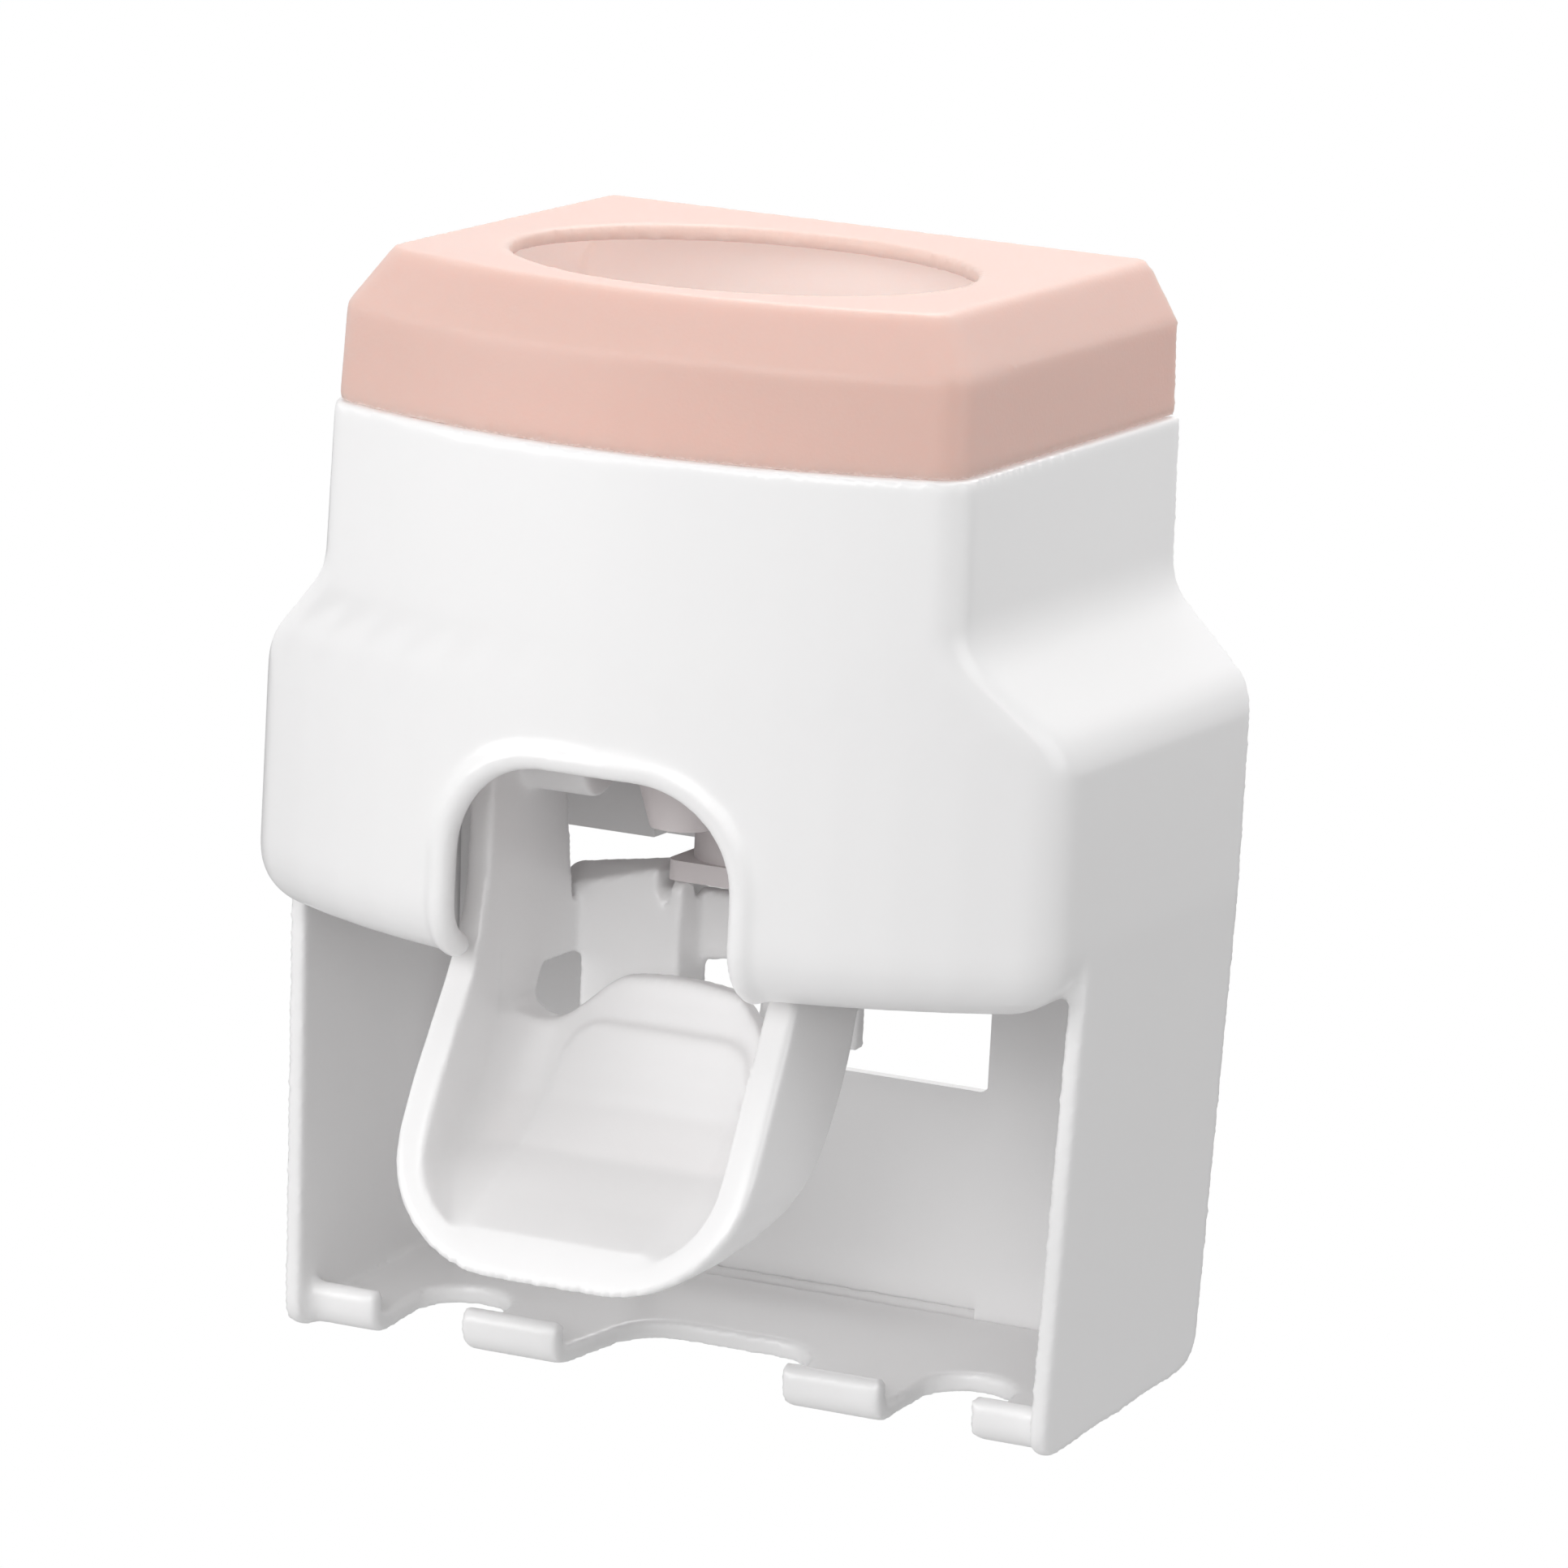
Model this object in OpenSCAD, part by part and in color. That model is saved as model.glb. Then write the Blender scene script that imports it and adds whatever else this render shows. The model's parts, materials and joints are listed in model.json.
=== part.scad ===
// Wall-hung toothpaste dispenser with toothbrush shelf, in millimetres.
// X is to the right, the wall plane is y = 0 and the front faces -Y, Z is up from the underside of the shelf.

/* [Housing] */
// Overall width across the wide lower part
body_w = 116; // [110:1:124]
// Width of the neck just above the shoulders
neck_w = 91.6; // [84:0.2:96]
// Width of the neck at its top rim
rim_w = 90.8; // [84:0.2:94]
// Distance from the wall plane to the foremost line of the front face
body_depth = 79.8; // [74:0.2:86]
// Radius of the bowed front face in plan
front_r = 95; // [85:1:120]
// Wall thickness of the moulded housing
wall = 2.4; // [1.8:0.1:3]
// Height of the top rim of the neck above the shelf underside
rim_z = 129.7; // [126:0.1:134]
// Height where the 45 degree shoulder leaves the neck
shoulder_z = 107.7; // [105:0.1:112]
// Height of the underside of the wide part
skirt_z = 60; // [57:0.1:62]
// Radius of the soft edges of the shoulder
shoulder_r = 8; // [4:0.5:10]
// Radius of the soft lower edge of the wide part
skirt_r = 8; // [5:0.5:9]
// Radius of the front vertical corners of the neck
neck_corner_r = 6; // [4:0.5:8]
// Radius of the front vertical corners of the wide part
body_corner_r = 9; // [8.5:0.5:12]

/* [Arch] */
// Half width of the arch, to the middle of its bead
arch_half = 21.5; // [20:0.5:23]
// Height of the top of the arch, to the middle of its bead
arch_top_z = 89.4; // [82:0.2:91]
// Radius of the arch's upper corners, to the middle of the bead
arch_r = 15; // [8:0.5:17]
// Radius of the round bead along the arch
bead_r = 1.9; // [1.5:0.1:2.8]

/* [Side panels and shelf] */
// Width across the two side panels at their feet
foot_w = 111.6; // [106:0.2:115]
// Distance of the side panels' front edges from the wall plane
panel_depth = 49.5; // [46:0.5:52]
// Radius of the panels' lower rear corner
panel_heel_r = 5; // [4:0.5:12]
// Thickness of the shelf
shelf_t = 2.8; // [2:0.1:4]
// Rise of the shelf from its lips to the wall
shelf_rise = 3; // [2:0.1:4]
// Distance of the lips' outer face from the wall plane
shelf_depth = 46.5; // [43:0.5:48]
// Height of the upturned lips above the shelf underside
lip_h = 6.2; // [5:0.1:7]
// Outer radius of the bend from the shelf up into the lips
lip_bend_r = 3.6; // [3:0.1:3.6]
// Half width of the wide middle notch at the shelf's edge
mid_notch_half = 16.5; // [13:0.5:19]
// Distance from the wall plane to the inner end of the middle notch
mid_notch_y = 27; // [22:0.5:30]
// Corner radius of the middle notch
mid_notch_r = 8; // [4:0.5:10]
// Width of each narrow notch
side_notch_w = 13; // [10:0.5:14]
// Distance of each narrow notch's centre line from the middle
side_notch_x = 37.3; // [35:0.1:39]
// Distance from the wall plane to the inner end of the narrow notches
side_notch_y = 27; // [22:0.5:30]

/* [Back panel] */
// Thickness of the back panel
back_t = 1.8; // [1.5:0.1:2.4]
// Depth of the side fields behind the wall plane pad
back_step = 3.8; // [2.5:0.1:5]
// Half width of the raised pad that bears on the wall
pad_half = 27.5; // [24:0.5:30]
// Half width of the narrow part of the hanging window
window_half = 24.3; // [16:0.1:25]
// Half width of the wide upper part of the hanging window
window_top_half = 41; // [38:0.5:44]
// Height of the lower edge of the hanging window
window_low_z = 35.3; // [30:0.1:44]
// Height of the step between the narrow and the wide part of the window
window_step_z = 52; // [48:0.5:56]
// Height of the upper edge of the hanging window
window_high_z = 64.1; // [60:0.1:66]

/* [Lid] */
// Height of the top of the lid
lid_top_z = 150; // [146:0.5:154]
// Height where the chamfer of the lid starts
lid_chamfer_z = 142.4; // [138:0.1:144]
// Inset of the lid's top face from its sides and front
lid_chamfer = 5.3; // [3:0.1:7]
// Step from the housing's rim in to the lid's side
lid_reveal = 0.6; // [0.3:0.1:1.2]
// Draft of the lid's side, from its foot to the chamfer
lid_draft = 0.4; // [0:0.1:1]
// Wall thickness of the lid
lid_wall = 2.2; // [1.8:0.1:3]
// Half length of the oval tube opening across the lid
oval_a = 30.8; // [26:0.2:32]
// Half length of the oval tube opening from front to back
oval_b = 27.8; // [24:0.2:29]
// Distance of the oval's centre, and of the tube's axis, from the wall plane
tube_y = 40.8; // [39:0.2:42]
// Depth of the lid's locating skirt inside the neck
skirt_in = 5; // [3:0.5:8]
// Clearance between the lid's skirt and the neck
lid_gap = 0.3; // [0.2:0.05:0.5]

/* [Push lever] */
// Distance of the lever's pivot from the wall plane
pivot_y = 51; // [50:0.5:52]
// Height of the lever's pivot
pivot_z = 85; // [84:0.5:86]
// Radius of the pivot pins
pin_r = 2; // [1.5:0.1:2.5]
// Running clearance of the pivot pins in the lever
pin_gap = 0.05; // [0.02:0.01:0.1]
// Width of the lever across its arms
lever_w = 49; // [47:0.5:50]
// Thickness of the lever's arms
arm_t = 3.5; // [3:0.1:4]
// Outward swell of the scoop's sides below the arms
scoop_bulge = 1; // [0:0.1:1.4]
// Thickness of the scoop's side walls and rim
lever_wall = 4.4; // [3.6:0.1:5]
// Radius of the scoop's lower corners at its mouth
scoop_r = 17.5; // [14:0.5:19]
// Lean of the scoop's mouth from the vertical, in degrees
scoop_lean = 27.3; // [22:0.1:29]
// Forward swell of the scoop's mouth, seen from the side
scoop_swell = 1.5; // [0:0.1:2]
// Radius of the scoop's two rear corners
scoop_rear_r = 1.5; // [1:0.1:6]
// Height of the lowest point of the scoop
scoop_low_z = 21.7; // [20:0.1:26]
// Radius of the hubs around the pivot pins
hub_r = 6; // [5:0.1:6.5]
// Length of each hub inside its arm
hub_l = 9.4; // [6:0.1:9.6]

/* [Pump] */
// Radius of the pump's bore
bore_r = 5.5; // [4.5:0.1:6]
// Running clearance of the piston's seal and crosshead in their bores
piston_gap = 0.08; // [0.03:0.01:0.1]
// Distance of the pump's axis from the wall plane
pump_y = 30; // [29:0.5:31]
// Height of the pump block's underside
pump_low_z = 74.3; // [74:0.1:76]
// Radius of the crosshead's bore under the piston
guide_r = 7.2; // [6.8:0.1:7.6]
// Distance of the outlet's axis from the wall plane
outlet_y = 50.5; // [50:0.5:52]
// Radius of the tube's neck in the socket's seal
tube_neck_r = 6.5; // [5:0.1:7]
// Wire diameter of the return spring
wire_d = 0.55; // [0.5:0.05:1.1]
// Number of turns of the return spring
spring_turns = 4; // [3:1:4]
// Mean radius of the return spring
spring_r = 5.1; // [4.4:0.1:5.6]

/* [Fasteners] */
// Shank radius of every screw
screw_r = 1.2; // [1:0.05:1.4]
// Head radius of every screw
screw_head_r = 2.4; // [2:0.1:2.6]
// Head height of every screw
screw_head_h = 1.6; // [1.2:0.1:2]
// Radius of every screw boss
boss_r = 3.6; // [3:0.1:4]

/* [Hidden] */

white = [0.93, 0.93, 0.93];
pink = [0.93, 0.78, 0.73];
inner_white = [0.86, 0.86, 0.88];
silicone = [0.82, 0.84, 0.86];
steel = [0.7, 0.72, 0.75];

// Steps in one rounded corner and in the bowed front of a plan outline
corner_n = 6;
front_n = 14;
// Clearances that several pieces share
seat_gap = 0.3;
slip_gap = 0.2;
eps = 0.01;

body_half = body_w / 2;
neck_half = neck_w / 2;
rim_half = rim_w / 2;
foot_half = foot_w / 2;

// Plan outline: straight back, straight sides, rounded front corners and a bowed front
function outline(half, front, bow, corner, back = 0) =
    let(cy = bow - front,
        c = min(corner, half - 1),
        ky = cy - sqrt(pow(bow - c, 2) - pow(half - c, 2)),
        turn = asin((half - c) / (bow - c)))
    concat(
        [[-half, back], [-half, ky]],
        [for (i = [1:corner_n])
            let(a = 180 + (90 - turn) * i / corner_n)
            [-(half - c) + c * cos(a), ky + c * sin(a)]],
        [for (i = [1:front_n - 1])
            let(a = 270 - turn + 2 * turn * i / front_n)
            [bow * cos(a), cy + bow * sin(a)]],
        [for (i = [0:corner_n - 1])
            let(a = 270 + turn + (90 - turn) * i / corner_n)
            [half - c + c * cos(a), ky + c * sin(a)]],
        [[half, ky], [half, back]]);

// Skin through plan outlines, each given as [height, points], from the lowest up
module skin(levels) {
    n = len(levels[0][1]);
    m = len(levels);
    points = [for (l = levels) for (p = l[1]) [p[0], p[1], l[0]]];
    sides = [for (j = [0:m - 2]) for (i = [0:n - 1])
        let(k = (i + 1) % n)
        each [[j * n + i, (j + 1) * n + k, j * n + k], [j * n + i, (j + 1) * n + i, (j + 1) * n + k]]];
    bottom = [[for (i = [0:n - 1]) i]];
    top = [[for (i = [n - 1:-1:0]) (m - 1) * n + i]];
    polyhedron(points = points, faces = concat(bottom, top, sides), convexity = 10);
}

// Tube of round section through a list of points, its ends square to the path
module sweep(path, r, sides) {
    n = len(path);
    tangent = [for (i = [0:n - 1])
        let(d = path[min(i + 1, n - 1)] - path[max(i - 1, 0)]) d / norm(d)];
    points = [for (i = [0:n - 1])
        let(t = tangent[i],
            u0 = cross(t, [0, 1, 0.35]),
            u = u0 / norm(u0),
            v = cross(t, u))
        for (k = [0:sides - 1])
            let(a = 360 * k / sides) path[i] + r * (cos(a) * u + sin(a) * v)];
    walls = [for (j = [0:n - 2]) for (i = [0:sides - 1])
        let(k = (i + 1) % sides)
        each [[j * sides + i, (j + 1) * sides + k, j * sides + k],
              [j * sides + i, (j + 1) * sides + i, (j + 1) * sides + k]]];
    start = [[for (i = [0:sides - 1]) i]];
    end = [[for (i = [sides - 1:-1:0]) (n - 1) * sides + i]];
    polyhedron(points = points, faces = concat(start, end, walls), convexity = 10);
}

// Extrusion of an X-Z outline backwards from y = front to y = back
module along_y(front, back) {
    translate([0, back, 0])
        rotate([90, 0, 0])
            linear_extrude(back - front)
                children();
}

// Extrusion of a Y-Z outline from x = left to x = right
module along_x(left, right) {
    translate([left, 0, 0])
        rotate([90, 0, 90])
            linear_extrude(right - left)
                children();
}

// Rectangle with round corners, from its low corner to its high one
module round_rect(low, high, r) {
    w = high[0] - low[0];
    h = high[1] - low[1];
    translate([low[0] + r, low[1]])
        square([w - 2 * r, h]);
    translate([low[0], low[1] + r])
        square([w, h - 2 * r]);
    for (x = [low[0] + r, high[0] - r])
        for (y = [low[1] + r, high[1] - r])
            translate([x, y])
                circle(r = r, $fn = 48);
}

// Levels of the housing, inset by t from its outer skin; the lowest level can be carried on down
arc_n = 4;
shoulder_drop = body_half - neck_half;

// Side line of the shoulder, inset by t, as [half width, height, share of the way up]
function shoulder_line(t) =
    let(top_z = shoulder_z - t * tan(22.5),
        low_z = top_z - shoulder_drop,
        r_top = shoulder_r + t,
        r_low = shoulder_r - t)
    concat(
        [for (i = [0:arc_n])
            let(b = 45 * i / arc_n)
            [body_half - t - r_low + r_low * cos(b), low_z - r_low * tan(22.5) + r_low * sin(b), 0]],
        [for (i = [0:arc_n])
            let(a = 45 * (arc_n - i) / arc_n)
            [neck_half - t + r_top - r_top * cos(a), top_z + r_top * tan(22.5) - r_top * sin(a),
             0.4 + 0.6 * i / arc_n]]);

function housing_levels(t, up, down) =
    let(bh = body_half - t,
        f = body_depth - t,
        bow = front_r - t,
        nc = neck_corner_r - t,
        bc = body_corner_r - t,
        sr = skirt_r - t)
    concat(
        down > 0 ? [[skirt_z - down, outline(bh - sr, f - sr, bow - sr, max(bc - sr, 0.5))]] : [],
        [for (i = [0:6])
            let(a = 90 - 15 * i,
                inset = sr * (1 - cos(a)),
                z = skirt_z + skirt_r - sr * sin(a))
            [z, outline(bh - inset, f - inset, bow - inset, max(bc - inset, 0.5))]],
        [for (p = shoulder_line(t)) [p[1], outline(p[0], f, bow, bc + (nc - bc) * p[2])]],
        [[rim_z + up, outline(rim_half - t, f, bow, nc)]]);

// Y of the housing's front face at a given x, inset by s
function front_face_y(x, s) = -(body_depth - s) + (front_r - s) - sqrt(pow(front_r - s, 2) - x * x);

// Bead line along the arch, from under its left foot over the top to its right foot
arch_spring_z = arch_top_z - arch_r;
bead_sink = 1.2;
bead_turn = 80;
bead_foot_n = 8;
bead_arc_n = 9;
bead_top_n = 3;
bead_left = concat(
    [for (i = [0:bead_foot_n])
        let(a = bead_turn * (1 - i / bead_foot_n),
            r = skirt_r - bead_sink)
        [-arch_half, front_face_y(arch_half, bead_sink + r * (1 - cos(a))), skirt_z + skirt_r - r * sin(a)]],
    [for (i = [0:bead_arc_n])
        let(a = 90 * i / bead_arc_n,
            x = arch_half - arch_r + arch_r * cos(a))
        [-x, front_face_y(x, bead_sink), arch_spring_z + arch_r * sin(a)]]);
bead_top = [for (i = [1:bead_top_n])
    let(x = (arch_half - arch_r) * (2 * i / (bead_top_n + 1) - 1))
    [x, front_face_y(x, bead_sink), arch_top_z]];
bead_right = [for (i = [len(bead_left) - 1:-1:0]) [-bead_left[i][0], bead_left[i][1], bead_left[i][2]]];
bead_line = concat(bead_left, bead_top, bead_right);

// Opening of the arch in the front face, out to the bead's middle line
module arch_shape() {
    low = skirt_z - 4;
    square_w = 2 * (arch_half - arch_r);
    translate([-arch_half, low])
        square([2 * arch_half, arch_spring_z - low]);
    translate([-square_w / 2, low])
        square([square_w, arch_top_z - low]);
    for (s = [-1, 1])
        translate([s * (arch_half - arch_r), arch_spring_z])
            circle(r = arch_r, $fn = 64);
}

// Half width of a side panel's outer face at height z
panel_top_z = skirt_z + skirt_r + 4;
function panel_half(z) = foot_half + (body_half - foot_half) * z / (skirt_z + skirt_r);

module side_panels() {
    for (s = [0, 1])
        mirror([s, 0, 0])
            intersection() {
                along_y(-panel_depth, 0)
                    polygon([[panel_half(0), 0], [body_half, skirt_z + skirt_r], [body_half, panel_top_z],
                             [body_half - wall, panel_top_z], [body_half - wall, skirt_z + skirt_r],
                             [panel_half(0) - wall, 0]]);
                along_x(0, body_half + foot_half)
                    panel_side_shape();
            }
}

// Points of an arc round (cy, cz) from angle a0 to a1
function arc(cy, cz, r, a0, a1, n) = [for (i = [0:n]) let(a = a0 + (a1 - a0) * i / n) [cy + r * cos(a), cz + r * sin(a)]];

// Side view of a panel: a small radius in front, a lower edge that rises to the wall, a round heel there
panel_toe_r = 4;
module panel_side_shape() {
    slope = atan(shelf_rise / shelf_depth);
    polygon(concat(arc(-panel_depth + panel_toe_r, panel_toe_r, panel_toe_r, 180, 270 + slope, 8),
                   arc(-panel_heel_r, panel_heel_r + shelf_rise - 0.5, panel_heel_r, 270 + slope, 360, 10),
                   [[0, panel_top_z + 1], [-panel_depth, panel_top_z + 1]]));
}

// Cross-section of the shelf, with its front edge turned up into the lip
module shelf_section() {
    front = -shelf_depth;
    r = lip_bend_r;
    polygon([[front + r, 0], [0, shelf_rise], [0, shelf_rise + shelf_t], [front + r, shelf_t]]);
    difference() {
        intersection() {
            translate([front + r, r])
                circle(r = r, $fn = 64);
            translate([front, 0])
                square([r + eps, r]);
        }
        translate([front + r, r])
            circle(r = r - shelf_t, $fn = 48);
    }
    translate([front, r - eps])
        square([shelf_t, lip_h - shelf_t / 2 - r + eps]);
    translate([front + shelf_t / 2, lip_h - shelf_t / 2])
        circle(r = shelf_t / 2, $fn = 32);
}

// Plan of the three brush notches, open to the front
module notch_plan() {
    far = shelf_depth + 5;
    translate([-mid_notch_half + 2, -far])
        square([2 * mid_notch_half - 4, far - mid_notch_y - mid_notch_r]);
    translate([-mid_notch_half + 2 + mid_notch_r, -far])
        square([2 * (mid_notch_half - 2 - mid_notch_r), far - mid_notch_y]);
    for (s = [-1, 1])
        translate([s * (mid_notch_half - 2 - mid_notch_r), -mid_notch_y - mid_notch_r])
            circle(r = mid_notch_r, $fn = 64);
    // The mouth of the middle notch flares out to the lips
    polygon([[-mid_notch_half, -far], [mid_notch_half, -far], [mid_notch_half, -shelf_depth + 3],
             [mid_notch_half - 2, -shelf_depth + 12], [-mid_notch_half + 2, -shelf_depth + 12],
             [-mid_notch_half, -shelf_depth + 3]]);
    for (s = [-1, 1])
        translate([s * side_notch_x, 0]) {
            translate([-side_notch_w / 2, -far])
                square([side_notch_w, far - side_notch_y - side_notch_w / 2]);
            translate([0, -side_notch_y - side_notch_w / 2])
                circle(r = side_notch_w / 2, $fn = 64);
        }
}

// Groove in the shelf that holds the foot of the back panel
back_front_y = -back_step - back_t;
groove_depth = 1.2;
groove_z = shelf_t + shelf_rise * (1 + back_front_y / (shelf_depth - lip_bend_r)) - groove_depth;
module shelf() {
    difference() {
        along_x(-foot_half + wall / 2, foot_half - wall / 2)
            shelf_section();
        translate([0, 0, -1])
            linear_extrude(lip_h + 2)
                notch_plan();
        translate([-foot_half, back_front_y - seat_gap, groove_z])
            cube([2 * foot_half, back_t + 2 * seat_gap, groove_depth + 2]);
        // Room for the pad's foot between the shelf and the wall
        translate([-pad_half - seat_gap, -back_t - seat_gap, -1])
            cube([2 * (pad_half + seat_gap), back_t + 2, shelf_rise + shelf_t + 2]);
    }
}

// Screw places: on the carrier plate as [x, y], on the back panel as [x, z]
carrier_screw_x = 42;
carrier_screw_y = [-52, -18];
back_screw_places = [[body_half - wall - boss_r + 0.2, 84], [rim_half - wall - boss_r + 0.3, 120]];

// Levels of the pump carrier plate
plate_z = 97;
plate_t = 3;
plate_top_z = plate_z + plate_t;

module housing_bosses() {
    for (s = [-1, 1]) {
        for (y = carrier_screw_y)
            translate([s * carrier_screw_x, y, plate_top_z])
                cylinder(r = boss_r, h = 11, $fn = 32);
        for (p = back_screw_places)
            translate([s * p[0], back_front_y, p[1]])
                rotate([90, 0, 0])
                    cylinder(r = boss_r, h = 14, $fn = 32);
    }
}

module housing_pilots() {
    for (s = [-1, 1]) {
        for (y = carrier_screw_y)
            translate([s * carrier_screw_x, y, plate_top_z - 1])
                cylinder(r = screw_r, h = 8, $fn = 24);
        for (p = back_screw_places)
            translate([s * p[0], back_front_y + 1, p[1]])
                rotate([90, 0, 0])
                    cylinder(r = screw_r, h = 10, $fn = 24);
    }
}

// Front housing: bowed shell with neck, shoulders and arch, and the side panels and shelf under it
module front_housing() {
    color(white)
    difference() {
        union() {
            difference() {
                skin(housing_levels(0, 0, 0));
                skin(housing_levels(wall, 5, 12));
                translate([-body_half + wall, -panel_depth, skirt_z - 5])
                    cube([body_w - 2 * wall, panel_depth + 1, skirt_r + 5 + eps]);
                translate([0, 1, 0])
                    along_y(-2.5, 5)
                        back_opening();
                along_y(-body_depth - 10, -body_depth + 20)
                    arch_shape();
            }
            sweep(bead_line, bead_r, 12);
            side_panels();
            shelf();
            intersection() {
                housing_bosses();
                skin(housing_levels(wall / 2, -1, 0));
            }
        }
        housing_pilots();
    }
}

// Clear opening at the back of the shell
module back_opening() {
    polygon([[-body_half + wall, skirt_z - 5], [body_half - wall, skirt_z - 5],
             [body_half - wall, shoulder_z - shoulder_drop - 4.5],
             [neck_half - wall, shoulder_z + 3], [rim_half - wall, rim_z + 5],
             [-rim_half + wall, rim_z + 5], [-neck_half + wall, shoulder_z + 3],
             [-body_half + wall, shoulder_z - shoulder_drop - 4.5]]);
}

// Back panel: side fields set in from the wall, and a pad in the middle that bears on it
module panel_outline(t) {
    side = concat([[foot_half - wall - t, groove_z + slip_gap], [body_half - wall - t - slip_gap, skirt_z + skirt_r]],
                  [for (p = shoulder_line(wall + t)) [p[0], p[1]]],
                  [[rim_half - wall - t, rim_z - skirt_in - 1.5]]);
    n = len(side) - 1;
    polygon(concat(side, [for (i = [n:-1:0]) [-side[i][0], side[i][1]]]));
}

module window_shape() {
    round_rect([-window_half, window_low_z], [window_half, window_high_z], 1.5);
    round_rect([-window_top_half, window_step_z], [window_top_half, window_high_z], 1.5);
}

pad_low_z = shelf_t + shelf_rise + slip_gap;
pad_high_z = 118;
module back_panel() {
    color(inner_white)
    difference() {
        union() {
            along_y(back_front_y, back_front_y + back_t)
                difference() {
                    panel_outline(slip_gap);
                    translate([-pad_half + back_t, pad_low_z - 5])
                        square([2 * (pad_half - back_t), pad_high_z - back_t - pad_low_z + 5]);
                }
            along_y(back_front_y, 0)
                difference() {
                    translate([-pad_half, pad_low_z])
                        square([2 * pad_half, pad_high_z - pad_low_z]);
                    translate([-pad_half + back_t, pad_low_z - 5])
                        square([2 * (pad_half - back_t), pad_high_z - back_t - pad_low_z + 5]);
                }
            along_y(-back_t, 0)
                translate([-pad_half, 0])
                    square([2 * pad_half, pad_high_z]);
        }
        along_y(back_front_y - 1, 1)
            window_shape();
        for (s = [-1, 1])
            for (p = back_screw_places)
                translate([s * p[0], 1, p[1]])
                    rotate([90, 0, 0])
                        cylinder(r = screw_r + 0.2, h = 12, $fn = 24);
    }
}

// One screw along -Z: its head stands on z = 0 and its shank goes down
module screw(length) {
    cylinder(r = screw_head_r, h = screw_head_h, $fn = 32);
    translate([0, 0, -length])
        cylinder(r = screw_r, h = length + eps, $fn = 24);
}

module back_panel_screws() {
    color(steel)
    for (s = [-1, 1])
        for (p = back_screw_places)
            translate([s * p[0], back_front_y + back_t, p[1]])
                rotate([-90, 0, 0])
                    screw(9);
}

// Lid: chamfered cap with an oval opening and a skirt inside the neck
lid_half = rim_half - lid_reveal;
lid_front = body_depth - lid_reveal;
lid_bow = front_r - lid_reveal;
lid_back = -0.4;
function lid_levels(t) =
    let(c = neck_corner_r - lid_reveal)
    [[rim_z - (t > 0 ? 1 : 0), outline(lid_half - t, lid_front - t, lid_bow - t, c - t, lid_back - t)],
     [lid_chamfer_z - t * tan(17.5), outline(lid_half - lid_draft - t, lid_front - lid_draft - t, lid_bow - lid_draft - t,
              c - t, lid_back - t)],
     [lid_top_z - t, outline(lid_half - lid_chamfer - t * 0.7, lid_front - lid_chamfer - t * 0.7, lid_bow - lid_chamfer - t,
              max(c - t, 1), lid_back - t)]];

module oval(grow) {
    scale([(oval_a + grow) / (oval_b + grow), 1, 1])
        circle(r = oval_b + grow, $fn = 96);
}

module lid() {
    neck_in = rim_half - wall - lid_gap;
    skirt_c = neck_corner_r - wall - lid_gap;
    color(pink)
    union() {
        difference() {
            skin(lid_levels(0));
            skin(lid_levels(lid_wall));
            translate([0, -tube_y, lid_top_z - 10])
                linear_extrude(20)
                    oval(0);
        }
        difference() {
            translate([0, 0, rim_z - skirt_in])
                linear_extrude(skirt_in + 1)
                    polygon(outline(neck_in, body_depth - wall - lid_gap, front_r - wall - lid_gap, skirt_c, lid_back - wall));
            translate([0, 0, rim_z - skirt_in - 1])
                linear_extrude(skirt_in + 4)
                    polygon(outline(neck_in - 1.4, body_depth - wall - lid_gap - 1.4, front_r - wall - lid_gap - 1.4,
                                    skirt_c - 1.4, lid_back - wall - 1.4));
        }
    }
}

// Pump carrier: plate screwed under the housing's bosses, with two cheeks for the lever's pins
cheek_x = lever_w / 2 + 0.6;
cheek_t = 3;
cheek_half = 7;
plate_half = carrier_screw_x + 5;
plate_front = 63;
plate_back = 9;

// Pump block, flange and cap share these sizes
block_half = 9;
block_l = 9.5;
flange_half = 19;
flange_front = 66;
flange_back = 12;
flange_t = 3;
flange_top_z = plate_top_z + flange_t;
nozzle_boss_r = 6.5;
cap_screw_places = [[16, -62], [16, -15]];

module pump_carrier() {
    color(inner_white)
    difference() {
        union() {
            translate([0, 0, plate_z])
                linear_extrude(plate_t)
                    round_rect([-plate_half, -plate_front], [plate_half, -plate_back], 7);
            for (s = [0, 1])
                mirror([s, 0, 0]) {
                    along_x(cheek_x, cheek_x + cheek_t) {
                        translate([-pivot_y - cheek_half, pivot_z])
                            square([2 * cheek_half, plate_z - pivot_z + eps]);
                        translate([-pivot_y, pivot_z])
                            circle(r = cheek_half, $fn = 64);
                    }
                    for (p = cap_screw_places)
                        translate([p[0], p[1], plate_z - 4])
                            cylinder(r = 3, h = 4 + eps, $fn = 32);
                }
        }
        translate([-block_half - slip_gap, -pump_y - block_l - slip_gap, plate_z - 5])
            cube([2 * (block_half + slip_gap), 2 * (block_l + slip_gap), 12]);
        translate([0, -outlet_y, plate_z - 1])
            cylinder(r = nozzle_boss_r + slip_gap, h = plate_t + 2, $fn = 48);
        for (s = [-1, 1]) {
            for (y = carrier_screw_y)
                translate([s * carrier_screw_x, y, plate_z - 1])
                    cylinder(r = screw_r + 0.2, h = plate_t + 2, $fn = 24);
            for (p = cap_screw_places)
                translate([s * p[0], p[1], plate_z - 5])
                    cylinder(r = screw_r, h = plate_t + 6, $fn = 24);
            translate([s * (cheek_x + cheek_t / 2), -pivot_y, pivot_z])
                rotate([0, 90, 0])
                    cylinder(r = pin_r, h = cheek_t + 2, center = true, $fn = 32);
        }
    }
}

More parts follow.
